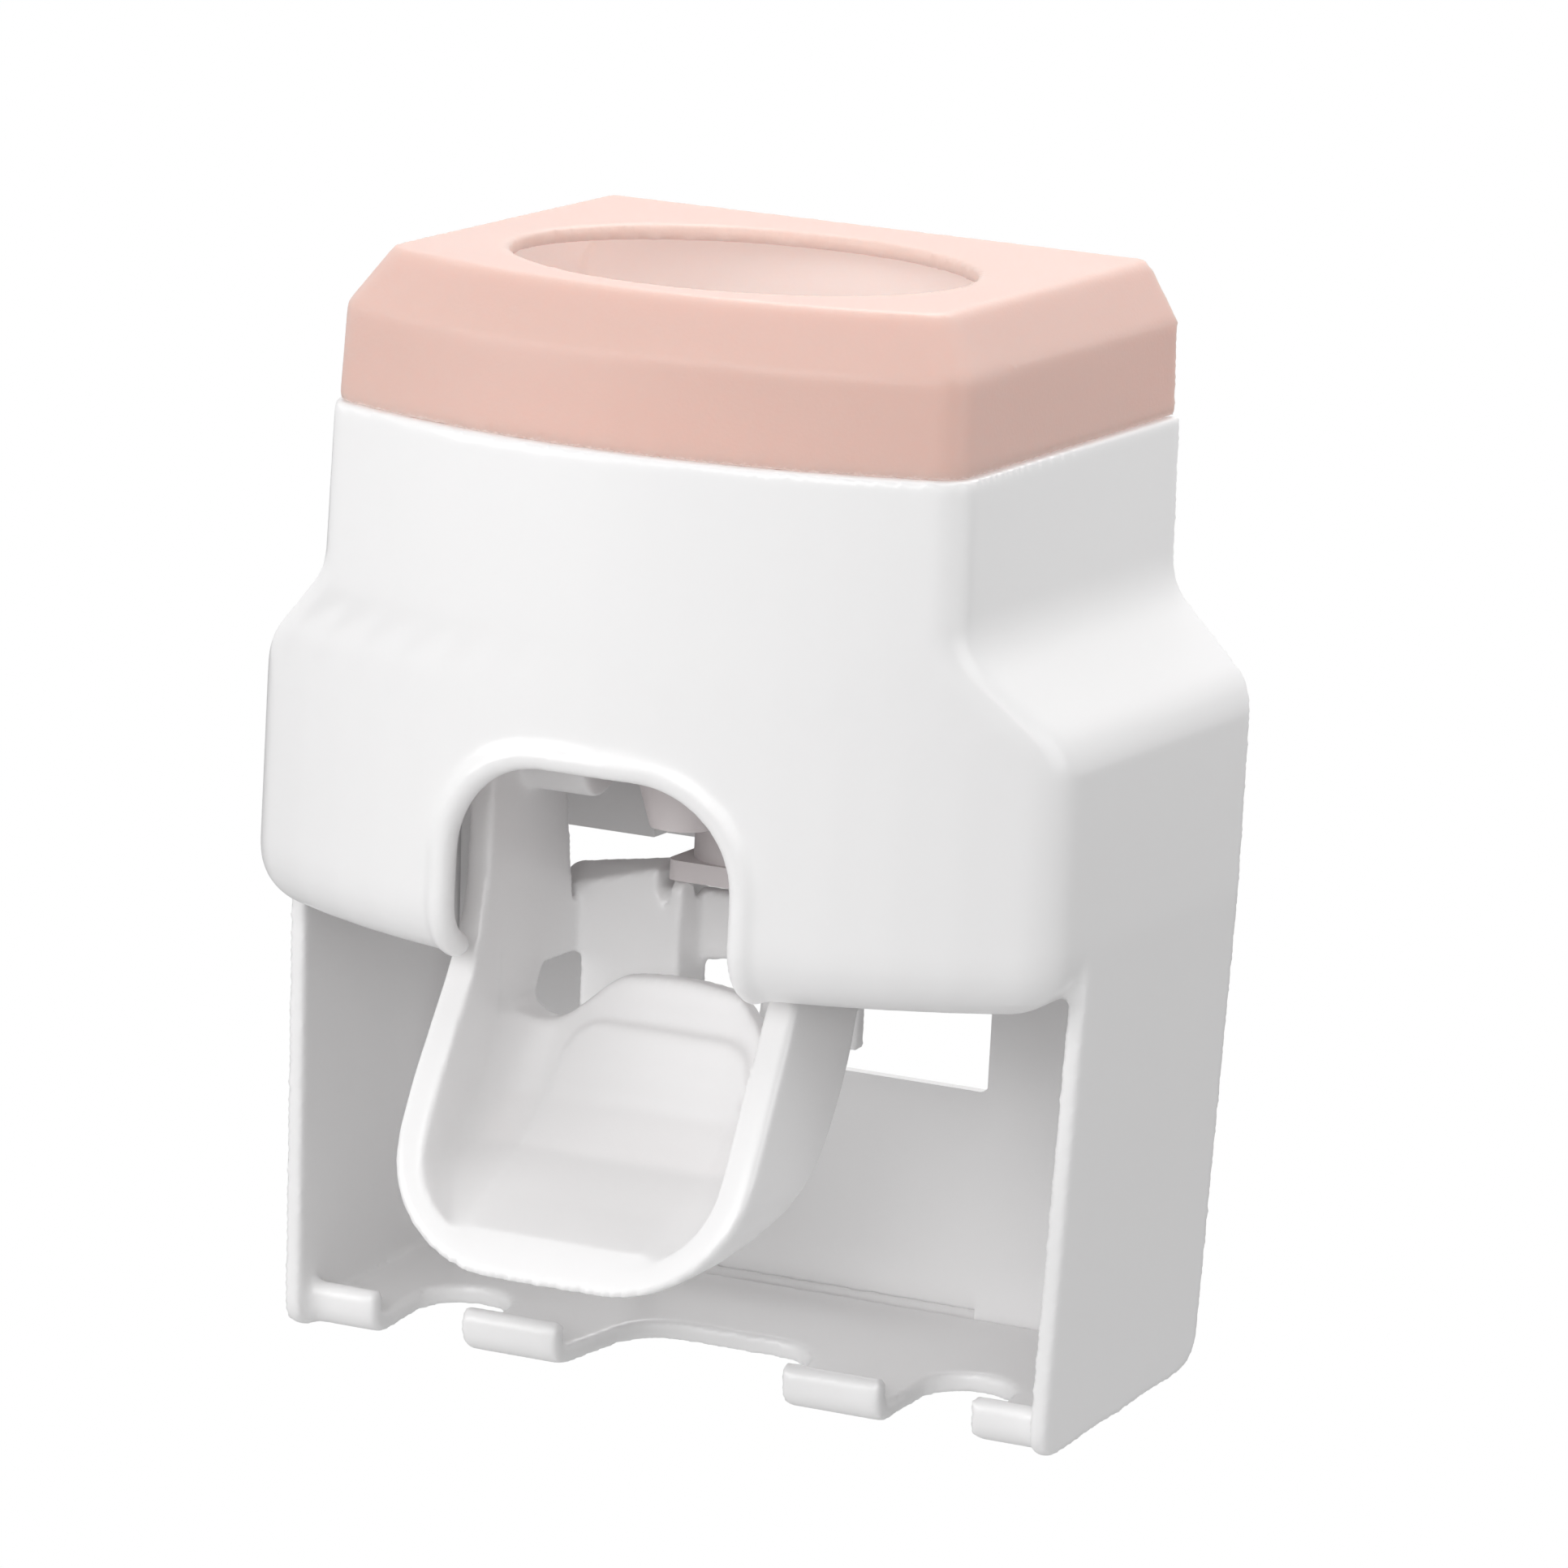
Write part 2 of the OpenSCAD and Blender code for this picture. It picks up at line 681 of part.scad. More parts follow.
module carrier_screws() {
    color(steel)
    for (s = [-1, 1])
        for (y = carrier_screw_y)
            translate([s * carrier_screw_x, y, plate_z])
                rotate([180, 0, 0])
                    screw(9);
}

// Heights inside the pump block
guide_top_z = pump_low_z + 11.7;
bore_top_z = guide_top_z + 12;
nozzle_boss_z = plate_z - 7;
gallery_r = 3;

module pump_body() {
    color(inner_white)
    difference() {
        union() {
            translate([-block_half, -pump_y - block_l, pump_low_z])
                cube([2 * block_half, 2 * block_l, flange_top_z - pump_low_z]);
            translate([0, 0, plate_top_z])
                linear_extrude(flange_t)
                    round_rect([-flange_half, -flange_front], [flange_half, -flange_back], 4);
            translate([0, -outlet_y, nozzle_boss_z])
                cylinder(r = nozzle_boss_r, h = plate_top_z - nozzle_boss_z + eps, $fn = 48);
        }
        translate([0, -pump_y, pump_low_z - 1])
            cylinder(r = guide_r, h = guide_top_z - pump_low_z + 1, $fn = 64);
        translate([0, -pump_y, guide_top_z - 1])
            cylinder(r = bore_r, h = bore_top_z - guide_top_z + 1, $fn = 64);
        translate([0, -pump_y, bore_top_z - 1])
            cylinder(r = gallery_r, h = 10, $fn = 32);
        translate([0, -outlet_y, nozzle_boss_z - 1])
            cylinder(r = gallery_r, h = 20, $fn = 32);
        for (s = [-1, 1])
            for (p = cap_screw_places)
                translate([s * p[0], p[1], plate_top_z - 1])
                    cylinder(r = screw_r + 0.2, h = flange_t + 2, $fn = 24);
    }
}

// Thin gasket between the pump body and the valve cap, cut out along the gallery
gasket_t = 0.8;
cap_z = flange_top_z + gasket_t;
cap_t = 4;
gallery_h = 2.4;
module gallery_plan() {
    translate([-gallery_r, -outlet_y])
        square([2 * gallery_r, outlet_y - pump_y]);
    for (y = [outlet_y, pump_y])
        translate([0, -y])
            circle(r = gallery_r, $fn = 48);
}

module cap_plan() {
    difference() {
        round_rect([-flange_half, -flange_front], [flange_half, -flange_back], 4);
        for (s = [-1, 1])
            for (p = cap_screw_places)
                translate([s * p[0], p[1]])
                    circle(r = screw_r + 0.2, $fn = 24);
    }
}

module pump_gasket() {
    color(silicone)
    translate([0, 0, flange_top_z])
        linear_extrude(gasket_t)
            difference() {
                cap_plan();
                gallery_plan();
            }
}

// Valve cap: closes the gallery and carries the socket for the tube's neck
socket_wall = 2.4;
seal_t = 2;
socket_in_r = tube_neck_r + seal_t + 0.05;
socket_out_r = socket_in_r + socket_wall;
socket_top_z = 122;
inlet_r = 3.2;
module valve_cap() {
    color(inner_white)
    difference() {
        union() {
            translate([0, 0, cap_z])
                linear_extrude(cap_t)
                    cap_plan();
            translate([0, -tube_y, cap_z + cap_t - eps])
                cylinder(r = socket_out_r, h = socket_top_z - cap_z - cap_t + eps, $fn = 96);
        }
        translate([0, 0, cap_z - 1])
            linear_extrude(gallery_h + 1)
                gallery_plan();
        translate([0, -tube_y, cap_z + cap_t])
            cylinder(r = socket_in_r, h = 30, $fn = 96);
        translate([0, -tube_y, cap_z])
            cylinder(r = inlet_r, h = cap_t + 1, $fn = 48);
    }
}

module cap_screws() {
    color(steel)
    for (s = [-1, 1])
        for (p = cap_screw_places)
            translate([s * p[0], p[1], cap_z + cap_t])
                screw(cap_z + cap_t - plate_z + 3);
}

// Inlet valve: a disc under the tube's mouth with a duckbill down into the gallery
valve_disc_t = 1.2;
module inlet_valve() {
    disc_z = cap_z + cap_t;
    color(silicone)
    translate([0, -tube_y, 0])
        rotate_extrude($fn = 64)
            polygon([[0.3, disc_z + valve_disc_t], [socket_in_r - 0.1, disc_z + valve_disc_t],
                     [socket_in_r - 0.1, disc_z], [inlet_r - 0.3, disc_z],
                     [0.9, disc_z - cap_t + 0.6], [0.3, disc_z - cap_t + 0.6]]);
}

// Seal sleeve that grips the tube's neck, with a collar on the socket's rim
module socket_seal() {
    low = cap_z + cap_t + valve_disc_t;
    color(silicone)
    translate([0, -tube_y, 0])
        difference() {
            union() {
                translate([0, 0, low])
                    cylinder(r = tube_neck_r + seal_t, h = socket_top_z - low, $fn = 96);
                translate([0, 0, socket_top_z])
                    cylinder(r = socket_out_r, h = 1.4, $fn = 96);
            }
            translate([0, 0, low - 1])
                cylinder(r = tube_neck_r, h = socket_top_z - low + seal_t + 2, $fn = 96);
        }
}

// Piston: head in the bore, rod, crosshead in the guide bore, and the foot that the lever lifts
foot_z = 66.3;
foot_t = 2.7;
foot_half_x = 8.2;
foot_half_y = 8;
cross_top_z = pump_low_z + 1.7;
head_z = guide_top_z + 2;
head_t = 4.2;
rod_r = 3;
ring_r = 0.8;
ring_z = head_z + head_t / 2;
module piston() {
    color(inner_white)
    difference() {
        union() {
            translate([0, -pump_y, foot_z])
                linear_extrude(foot_t)
                    round_rect([-foot_half_x, -foot_half_y], [foot_half_x, foot_half_y], 2);
            translate([0, -pump_y, foot_z + foot_t - eps])
                cylinder(r = guide_r - piston_gap, h = cross_top_z - foot_z - foot_t + eps, $fn = 64);
            translate([0, -pump_y, cross_top_z - eps])
                cylinder(r = rod_r, h = head_z - cross_top_z + 2 * eps, $fn = 48);
            translate([0, -pump_y, head_z])
                cylinder(r = bore_r - 0.1, h = head_t, $fn = 64);
        }
        translate([0, -pump_y, ring_z])
            rotate_extrude($fn = 64)
                translate([bore_r - piston_gap - 2 * ring_r, -ring_r])
                    square([2 * ring_r + 1, 2 * ring_r]);
    }
}

module piston_seal() {
    color(silicone)
    translate([0, -pump_y, ring_z])
        rotate_extrude($fn = 64)
            translate([bore_r - piston_gap - ring_r, 0])
                circle(r = ring_r - 0.01, $fn = 24);
}

// Return spring: one unbroken wire between the crosshead and the top of the guide bore
spring_low_z = cross_top_z;
spring_high_z = guide_top_z;
wire_steps = 8;
function spring_point(i) =
    let(n = spring_turns * wire_steps,
        z0 = spring_low_z + wire_d / 2 + 0.02,
        z1 = spring_high_z - wire_d / 2 - 0.02)
    [spring_r * cos(360 * i / wire_steps), -pump_y + spring_r * sin(360 * i / wire_steps), z0 + (z1 - z0) * i / n];
spring_path = [for (i = [0:spring_turns * wire_steps]) spring_point(i)];
spring_gap = min([for (i = [0:(spring_turns - 1) * wire_steps])
    norm(spring_path[i + wire_steps] - spring_path[i])]) - wire_d;
module return_spring() {
    echo(spring_least_gap = spring_gap);
    color(steel)
        sweep(spring_path, wire_d / 2, 6);
}

// Outlet nozzle: pushed over the pump body's boss, tapering to the tip above the brush
nozzle_low_z = 76.6;
nozzle_top_z = plate_z - 0.1;
nozzle_out_r = 8;
tip_r = 4.2;
tip_bore_r = 2.8;
module outlet_nozzle() {
    color(inner_white)
    translate([0, -outlet_y, 0])
        rotate_extrude($fn = 72)
            polygon([[tip_bore_r, nozzle_low_z], [tip_r, nozzle_low_z], [nozzle_out_r, nozzle_boss_z - 1],
                     [nozzle_out_r, nozzle_top_z], [nozzle_boss_r + 0.05, nozzle_top_z], [nozzle_boss_r + 0.05, nozzle_boss_z - 1.2],
                     [tip_bore_r, nozzle_boss_z - 1.2]]);
}

// Outlet valve: disc under the boss with a duckbill in the nozzle's tip
module outlet_valve() {
    top = nozzle_boss_z;
    color(silicone)
    translate([0, -outlet_y, 0])
        rotate_extrude($fn = 64)
            polygon([[0.3, top], [nozzle_boss_r - 0.1, top], [nozzle_boss_r - 0.1, top - 1.2],
                     [tip_bore_r - 0.2, top - 1.2], [tip_bore_r - 0.2, top - 3], [0.9, nozzle_low_z + 0.6],
                     [0.3, nozzle_low_z + 0.6]]);
}

// Push lever: two arms on the pivot pins, the scoop that the brush pushes, and the cams under the piston's foot
arm_x = lever_w / 2;
arm_front = 63.6;
arm_back = 39;
arm_top_r = 8;
knee_z = 62;
cam_front = 37;
cam_back = 22;
cam_heel = 28;
cam_low_z = 47;
cam_web_z = 54.5;
cam_apron_x = 20.5;
cam_apron_t = 2.5;
cam_top_z = foot_z - seat_gap;
cam_nose_r = 2;
cam_nose_y = 34.8;
cam_in_x = 6;
cam_block_z = 64.6;
cam_fall = 16;
cam_fall_x = 11;
rib_front = 30.3;
rib_in_x = 3.5;
rib_top_z = 61.5;
lip_t = 3.7;
lip_r = 1.1;
knee_blend = 10;
wall_taper_z = 55;

// Y of the scoop's mouth at height z: upright along the arms, then leaning out in a soft bend
function mouth_y(z) =
    let(d = knee_z - z,
        run = d < -knee_blend ? 0 : d > knee_blend ? d : pow(d + knee_blend, 2) / (4 * knee_blend))
    -(arm_front + run * tan(scoop_lean) + (d > 0 ? scoop_swell * sin(180 * d / (knee_z - scoop_low_z)) : 0));

// Side view of the scoop's outside: floor, heel and back wall as [z, distance from the wall plane]
heel_line = [[0, mouth_y(scoop_low_z) + 1.7], [1.5, -81], [4.5, -73.3], [9.6, -62.6], [14.6, -56.9], [19.2, -53.3],
             [23.7, -50.4], [27.6, -48.3], [33.7, -45.9], [46, -43], [50, -42.6]];
function heel_y(z) = lookup(z - scoop_low_z, heel_line);

// Half width of the scoop, inset by t from its outside, with its low edge at z = low
function scoop_half(z, t, low) =
    let(r = scoop_r - t,
        h = arm_x + scoop_bulge * min(1, max(0, (knee_z + 10 - z) / 28)) - t,
        v = (z - low) / cos(scoop_lean))
    v >= r ? h : h - r + sqrt(max(0, r * r - (r - v) * (r - v)));

// One level of the scoop: front corners of radius rf and rear corners of radius rb
function scoop_ring(half, front, back, rf, rb) =
    let(f = min(rf, (back - front) / 2 - 0.05, half - 0.5),
        b = min(rb, half - 0.5),
        n = 6)
    concat(
        [for (i = [0:n]) let(a = 180 + 90 * i / n) [-half + f + f * cos(a), front + f + f * sin(a)]],
        [for (i = [0:n]) let(a = 270 + 90 * i / n) [half - f + f * cos(a), front + f + f * sin(a)]],
        [for (i = [0:n]) let(a = 90 * i / n) [half - b + b * cos(a), back - b + b * sin(a)]],
        [for (i = [0:n]) let(a = 90 + 90 * i / n) [-half + b + b * cos(a), back - b + b * sin(a)]]);

// Heights of the scoop's levels: close together along the round lower corners
function scoop_heights(t, low, high) =
    let(r = scoop_r - t, n = 8)
    concat([for (i = [0:n]) low + r * (1 - cos(90 * i / n)) * cos(scoop_lean)],
           [for (i = [1:10]) low + r * cos(scoop_lean) + (high - low - r * cos(scoop_lean)) * i / 10]);

scoop_high_z = knee_z + knee_blend - 4;
module scoop_outer() {
    skin([for (z = scoop_heights(0, scoop_low_z, scoop_high_z))
        [z, scoop_ring(scoop_half(z, 0, scoop_low_z), mouth_y(z), heel_y(z), lip_r,
                       min(scoop_rear_r, (heel_y(z) - mouth_y(z)) / 2))]]);
}

// Inside of the scoop, open to the front; the back wall is moved forward by push
module scoop_inner(push) {
    low = scoop_low_z + lip_t;
    skin([for (z = scoop_heights(lever_wall, low, scoop_high_z + 1))
        let(back = max(heel_y(z - lip_t) - 1.4 - push, mouth_y(z) + 0.05),
            up = min(1, max(0, (z - wall_taper_z) / (scoop_high_z - wall_taper_z))))
        [z, scoop_ring(scoop_half(z, lever_wall, low) + (lever_wall - arm_t) * up, mouth_y(z) - 10, back, 1,
                       max(0.1, min(7, 0.6 * (back - mouth_y(z)))))]]);
}

// Front view of the raised pad on the back wall, where the brush presses
pad_x = 13.5;
pad_low = 26;
pad_high = 49.5;
pad_h = 0.8;
module press_pad() {
    intersection() {
        difference() {
            scoop_inner(0);
            scoop_inner(pad_h);
        }
        along_y(mouth_y(scoop_low_z), -cam_front)
            round_rect([-pad_x, pad_low], [pad_x, pad_high], 5);
    }
}

// Side view of one arm, from its round head down to the scoop
module arm_side() {
    polygon([[-arm_front, knee_z - 3], [-arm_back + 1, knee_z - 3], [-arm_back + 0.5, knee_z],
             [-arm_back - 2.5, pivot_z - 8], [-arm_back - 2.5, pivot_z], [-arm_front, pivot_z]]);
    translate([-arm_back - 8, cam_web_z])
        square([arm_back - cam_front + 16, knee_z - cam_web_z]);
    intersection() {
        translate([-pivot_y, pivot_z - 3])
            circle(r = arm_top_r + 4.6, $fn = 72);
        translate([-arm_front, pivot_z - 1])
            square([arm_front - arm_back - 2.5, 2 * arm_top_r]);
    }
}

// Side view of the narrow cams, their round noses under the piston's foot
module cam_side() {
    top = cam_top_z - cam_nose_r;
    translate([-cam_nose_y, top])
        circle(r = cam_nose_r, $fn = 48);
    polygon([[-cam_nose_y - cam_nose_r, cam_low_z], [-cam_heel, cam_low_z + 3], [-cam_heel, cam_low_z + 12],
             [-cam_nose_y + cam_nose_r * sin(30), top + cam_nose_r * cos(30)], [-cam_nose_y, top],
             [-cam_nose_y - cam_nose_r, top]]);
}

// Block beside each cam that ties it to the arm, its top falling away to the outside
module cam_block() {
    difference() {
        along_x(cam_in_x, arm_x)
            polygon([[-cam_front, cam_web_z], [-cam_back, cam_web_z], [-cam_back, cam_block_z - 1],
                     [-cam_back - 1, cam_block_z], [-cam_front + 1.5, cam_block_z], [-cam_front, cam_block_z - 1.2]]);
        along_y(-cam_front - 1, -cam_back + 1)
            polygon([[cam_fall_x, cam_block_z], [arm_x + 1, cam_block_z - (arm_x + 1 - cam_fall_x) * tan(cam_fall)],
                     [arm_x + 1, cam_block_z + 1], [cam_fall_x, cam_block_z + 1]]);
        along_x(cam_in_x - 1, foot_half_x + 0.8)
            polygon([[-cam_front - 1, foot_z - 5], [-cam_nose_y - cam_nose_r, foot_z - 5], [-cam_heel, cam_low_z + 10],
                     [-cam_back + 1, cam_low_z + 8], [-cam_back + 1, foot_z + 1], [-cam_front - 1, foot_z + 1]]);
    }
    // Thin apron below the block, behind the scoop's back wall
    along_x(cam_in_x, cam_apron_x)
        translate([-cam_front, cam_low_z])
            square([cam_apron_t, cam_web_z - cam_low_z + eps]);
    along_x(rib_in_x, cam_in_x + eps)
        polygon([[-rib_front, cam_web_z], [-cam_back, cam_web_z], [-cam_back, rib_top_z - 6], [-rib_front + 2, rib_top_z],
                 [-rib_front, rib_top_z]]);
}

// Wavy top of the scoop's back wall: a crest in the middle and a dip beside each arm
crest_half = 7;
crest_z = 55.8;
dip_x = 17;
dip_z = 48.8;
side_z = 51;
function wave_z(x) =
    let(u = abs(x), h = arm_x - lever_wall + 1.5)
    u < crest_half ? crest_z - 0.5 * pow(u / crest_half, 2)
    : u < dip_x ? dip_z + (crest_z - 0.5 - dip_z) * (1 + cos(180 * (u - crest_half) / (dip_x - crest_half))) / 2
    : dip_z + (side_z - dip_z) * pow((u - dip_x) / (h - dip_x), 2);
module back_top_cut() {
    h = arm_x - lever_wall + 1;
    n = 36;
    polygon(concat([for (i = [0:n]) let(x = -h + 2 * h * i / n) [x, wave_z(x)]],
                   [[h, scoop_high_z + 1], [-h, scoop_high_z + 1]]));
}

module push_lever() {
    color(white)
    difference() {
        union() {
            difference() {
                scoop_outer();
                scoop_inner(0);
                along_y(-arm_front + lever_wall, -cam_front + 1)
                    back_top_cut();
            }
            for (s = [0, 1])
                mirror([s, 0, 0]) {
                    along_x(arm_x - arm_t, arm_x)
                        arm_side();
                    cam_block();
                    along_x(cam_in_x, foot_half_x - 0.2)
                        cam_side();
                    translate([arm_x - arm_t - hub_l, -pivot_y, pivot_z])
                        rotate([0, 90, 0])
                            cylinder(r = hub_r, h = hub_l + 1, $fn = 64);
                }
            press_pad();
        }
        for (s = [-1, 1])
            translate([s * (arm_x - hub_l / 2), -pivot_y, pivot_z])
                rotate([0, 90, 0])
                    cylinder(r = pin_r + pin_gap, h = 30, center = true, $fn = 48);
    }
}

module pivot_pins() {
    color(steel)
    for (s = [0, 1])
        mirror([s, 0, 0])
            translate([arm_x - arm_t - hub_l + 0.4, -pivot_y, pivot_z])
                rotate([0, 90, 0])
                    cylinder(r = pin_r, h = cheek_x + cheek_t - (arm_x - arm_t - hub_l + 0.4), $fn = 48);
}

front_housing();
back_panel();
back_panel_screws();
lid();
pump_carrier();
carrier_screws();
pump_body();
pump_gasket();
valve_cap();
cap_screws();
socket_seal();
inlet_valve();
piston();
piston_seal();
return_spring();
outlet_nozzle();
outlet_valve();
push_lever();
pivot_pins();
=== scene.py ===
# Dresses the wall-hung toothpaste dispenser: moulded shells, satin lid, pump parts, studio light.
import json
import math

import bmesh
import bpy
from mathutils import Euler, Matrix, Vector


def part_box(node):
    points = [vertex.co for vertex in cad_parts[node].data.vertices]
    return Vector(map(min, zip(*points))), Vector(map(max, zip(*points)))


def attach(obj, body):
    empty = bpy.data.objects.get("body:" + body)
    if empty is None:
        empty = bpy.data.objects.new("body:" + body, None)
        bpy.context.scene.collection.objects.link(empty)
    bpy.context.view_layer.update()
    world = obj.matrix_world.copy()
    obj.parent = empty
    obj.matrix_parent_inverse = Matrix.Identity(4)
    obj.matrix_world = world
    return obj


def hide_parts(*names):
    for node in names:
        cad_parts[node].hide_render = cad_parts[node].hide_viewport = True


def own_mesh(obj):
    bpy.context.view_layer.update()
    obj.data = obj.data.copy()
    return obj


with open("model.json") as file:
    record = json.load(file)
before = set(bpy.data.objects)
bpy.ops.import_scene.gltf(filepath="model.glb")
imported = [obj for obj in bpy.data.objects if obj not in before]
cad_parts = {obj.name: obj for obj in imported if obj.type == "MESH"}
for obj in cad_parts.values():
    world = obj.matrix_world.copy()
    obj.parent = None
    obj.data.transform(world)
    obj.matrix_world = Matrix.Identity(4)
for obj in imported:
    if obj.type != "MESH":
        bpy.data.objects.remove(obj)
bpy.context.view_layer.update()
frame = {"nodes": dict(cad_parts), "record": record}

# Camera, as read from the photograph's straight edges
LOOK_AT = Vector((0, -0.037, 0.075))
AZIMUTH = math.radians(25.46)
ELEVATION = math.radians(11.74)
ROLL = math.radians(3.05)
DISTANCE = 1.277
IMAGE_SIZE = 1932
FOCAL_PIXELS = 12000
# Where the point looked at lies in the image, from its centre, right and down
AIM_RIGHT = -70.5
AIM_DOWN = 46.2
SENSOR_MM = 36
NEAREST_SEEN = 0.05
FARTHEST_SEEN = 20

# Colours, as sRGB. A shade is what its colour drifts to over the surface
WHITE_SHELL = (0.975, 0.972, 0.971)
WHITE_SHELL_SHADE = (0.965, 0.962, 0.964)
PINK_LID = (0.876, 0.748, 0.708)
PINK_LID_SHADE = (0.866, 0.735, 0.694)
# Painted light: the lid's inside is painted paler and glows faintly, in place of light that passes
# its thin walls
LID_PAINTED_INSIDE = (0.940, 0.890, 0.870)
LID_PAINTED_GLOW = (0.52, 0.465, 0.455)
# A plainer, greyer plastic; its grey is also darkened as painted shade for the carrier and pump deep
# in the housing
INNER_GREY_PAINTED_SHADE = (0.86, 0.835, 0.835)
INNER_GREY_PAINTED_SHADE_DRIFT = (0.845, 0.818, 0.82)
CLEAR_SILICONE = (0.82, 0.84, 0.86)
CLEAR_SILICONE_SHADE = (0.78, 0.80, 0.82)
SPRING_STEEL = (0.70, 0.72, 0.75)
SPRING_STEEL_SHADE = (0.62, 0.64, 0.68)
FLOOR_WHITE = (0.98, 0.98, 0.98)
FLOOR_BOUNCE = (0.80, 0.80, 0.80)

# Tone drift over a moulding, in blotches to the metre, and the fine skin's relief in metres
DRIFT_SCALE = 26
DRIFT_DETAIL = 3
SKIN_DETAIL = 2
SKIN_RELIEF = 0.0001
PLASTIC_IOR = 1.49
COAT_ROUGHNESS = 0.12

# How light spreads inside the lid's thin plastic: its share, its reach by colour, and that in metres
LID_SCATTER = 0.8
LID_SCATTER_RADIUS = (1.0, 0.75, 0.68)
LID_SCATTER_SCALE = 0.006
# Name of the mask that marks where the lid's inside gets its painted light, and the lid's thickness
# at its oval
PAINTED_LIGHT_MASK = "painted_light_mask"
LID_RIM = 0.0030
# How quickly the mask fills as a face turns to look inwards
INWARD_GAIN = 1.5


def linear(colour):
    """An sRGB colour as the scene-linear RGBA that shaders take."""
    steps = (c / 12.92 if c <= 0.04045 else ((c + 0.055) / 1.055) ** 2.4 for c in colour)
    return tuple(steps) + (1.0,)


# Shared effects

SURFACE_INPUTS = (("Colour", "NodeSocketColor", (1, 1, 1, 1)),
                  ("Shade", "NodeSocketColor", (1, 1, 1, 1)),
                  ("Gloss", "NodeSocketFloat", 0.3),
                  ("Gloss Drift", "NodeSocketFloat", 0.05),
                  ("Skin Scale", "NodeSocketFloat", 900.0))
SURFACE_OUTPUTS = (("Colour", "NodeSocketColor"),
                   ("Roughness", "NodeSocketFloat"),
                   ("Height", "NodeSocketFloat"))


def moulded_surface():
    """Node group: the faint tone drift, gloss drift and fine skin of moulded plastic."""
    group = bpy.data.node_groups.new("moulded surface", "ShaderNodeTree")
    face = group.interface
    for name, kind, value in SURFACE_INPUTS:
        socket = face.new_socket(name, in_out="INPUT", socket_type=kind)
        socket.default_value = value
    for name, kind in SURFACE_OUTPUTS:
        face.new_socket(name, in_out="OUTPUT", socket_type=kind)
    nodes, links = group.nodes, group.links
    inputs = nodes.new("NodeGroupInput")
    outputs = nodes.new("NodeGroupOutput")
    place = nodes.new("ShaderNodeTexCoord")

    drift = nodes.new("ShaderNodeTexNoise")
    drift.inputs["Scale"].default_value = DRIFT_SCALE
    drift.inputs["Detail"].default_value = DRIFT_DETAIL
    links.new(place.outputs["Object"], drift.inputs["Vector"])

    tone = nodes.new("ShaderNodeMix")
    tone.data_type = "RGBA"
    links.new(drift.outputs["Fac"], tone.inputs["Factor"])
    links.new(inputs.outputs["Colour"], tone.inputs["A"])
    links.new(inputs.outputs["Shade"], tone.inputs["B"])
    links.new(tone.outputs["Result"], outputs.inputs["Colour"])

    spread = nodes.new("ShaderNodeMath")
    spread.operation = "MULTIPLY_ADD"
    links.new(drift.outputs["Fac"], spread.inputs[0])
    links.new(inputs.outputs["Gloss Drift"], spread.inputs[1])
    links.new(inputs.outputs["Gloss"], spread.inputs[2])
    links.new(spread.outputs[0], outputs.inputs["Roughness"])

    skin = nodes.new("ShaderNodeTexNoise")
    skin.inputs["Detail"].default_value = SKIN_DETAIL
    links.new(place.outputs["Object"], skin.inputs["Vector"])
    links.new(inputs.outputs["Skin Scale"], skin.inputs["Scale"])
    links.new(skin.outputs["Fac"], outputs.inputs["Height"])
    return group


MOULDED = moulded_surface()


def moulded_plastic(name, colour, shade, gloss, gloss_drift, skin_scale, skin_depth, coat=0.0):
    """Plastic whose colour, gloss and skin come from the shared group."""
    material = bpy.data.materials.new(name)
    material.use_nodes = True
    nodes, links = material.node_tree.nodes, material.node_tree.links
    shader = nodes["Principled BSDF"]
    skin = nodes.new("ShaderNodeGroup")
    skin.node_tree = MOULDED
    skin.inputs["Colour"].default_value = linear(colour)
    skin.inputs["Shade"].default_value = linear(shade)
    skin.inputs["Gloss"].default_value = gloss
    skin.inputs["Gloss Drift"].default_value = gloss_drift
    skin.inputs["Skin Scale"].default_value = skin_scale
    bump = nodes.new("ShaderNodeBump")
    bump.inputs["Strength"].default_value = skin_depth
    bump.inputs["Distance"].default_value = SKIN_RELIEF
    links.new(skin.outputs["Colour"], shader.inputs["Base Color"])
    links.new(skin.outputs["Roughness"], shader.inputs["Roughness"])
    links.new(skin.outputs["Height"], bump.inputs["Height"])
    links.new(bump.outputs["Normal"], shader.inputs["Normal"])
    shader.inputs["IOR"].default_value = PLASTIC_IOR
    shader.inputs["Coat Weight"].default_value = coat
    shader.inputs["Coat Roughness"].default_value = COAT_ROUGHNESS
    return material


def white_shell():
    """Glossy white moulding of the housing, lever and back panel."""
    return moulded_plastic("white shell", WHITE_SHELL, WHITE_SHELL_SHADE, gloss=0.26,
                           gloss_drift=0.05, skin_scale=1400, skin_depth=0.05, coat=0.25)


